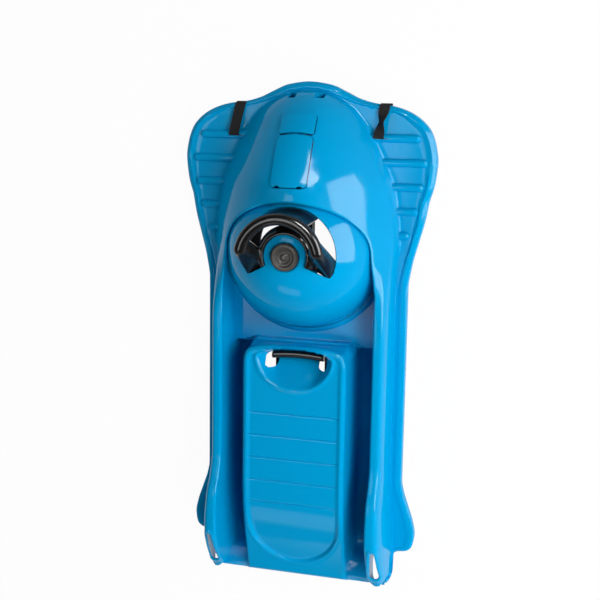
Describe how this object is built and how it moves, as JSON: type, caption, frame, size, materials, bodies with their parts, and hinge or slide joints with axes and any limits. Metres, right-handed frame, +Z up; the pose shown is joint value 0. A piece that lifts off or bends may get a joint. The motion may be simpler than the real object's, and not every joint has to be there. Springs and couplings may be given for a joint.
{
  "type": "steering sled",
  "caption": "Plastic sled with a turning dome and horseshoe handle that steers a blade under the hull, a hand brake in the seat, a lidded storage bin and ribbed foot wings.",
  "frame": {"origin": "on the ground, under the middle of the overall box", "axes": "+Y towards the nose, +Z up, +X to the rider's right"},
  "size_m": [0.5702, 1.12, 0.283],
  "materials": {
    "hull_blue": "gloss",
    "dome_blue": "gloss",
    "handle_black": "gloss",
    "cap_black": "satin",
    "bush_white": "matte",
    "webbing": "woven",
    "steel": "zinc plated"
  },
  "bodies": {
    "sled": {"hood_shell": "hull_blue", "left_wing": "hull_blue", "right_wing": "hull_blue", "floor_pan": "hull_blue", "left_rail": "hull_blue", "right_rail": "hull_blue", "left_runner": "hull_blue", "right_runner": "hull_blue", "seat_deck": "hull_blue", "tail_deck": "hull_blue", "left_strap": "webbing", "right_strap": "webbing", "door_hinge_pin": "steel", "storage_bin": "cap_black", "upper_column_bush": "bush_white", "lower_column_bush": "bush_white", "bearing_ring": "cap_black", "bearing_ring_screws": "steel", "brake_shaft": "steel", "brake_shaft_clips": "steel"},
    "steering": {"steering_dome": "dome_blue", "steering_handle": "handle_black", "handle_screws": "steel", "hub_cap": "cap_black", "hub_bolt": "steel", "hub_washer": "steel", "steering_column": "steel", "thrust_collar": "cap_black", "steering_blade": "cap_black", "blade_cross_bolt": "steel", "blade_cross_nut": "steel"},
    "brake": {"brake_lever": "handle_black", "brake_claw": "steel", "claw_screws": "steel"},
    "storage_door": {"storage_door": "hull_blue"}
  },
  "joints": [
    {"name": "steering_turn", "type": "hinge", "parent": "sled", "child": "steering", "pos_m": [0, 0.197, 0.1], "axis": [0, 0, 1], "range_deg": [-30, 30]},
    {"name": "brake_pull", "type": "hinge", "parent": "sled", "child": "brake", "pos_m": [0, -0.215, 0.068], "axis": [1, 0, 0], "range_deg": [0, 14]},
    {"name": "storage_door_swing", "type": "hinge", "parent": "sled", "child": "storage_door", "pos_m": [0, 0.344, 0.20349], "axis": [1, 0, 0], "range_deg": [0, 100]}
  ]
}
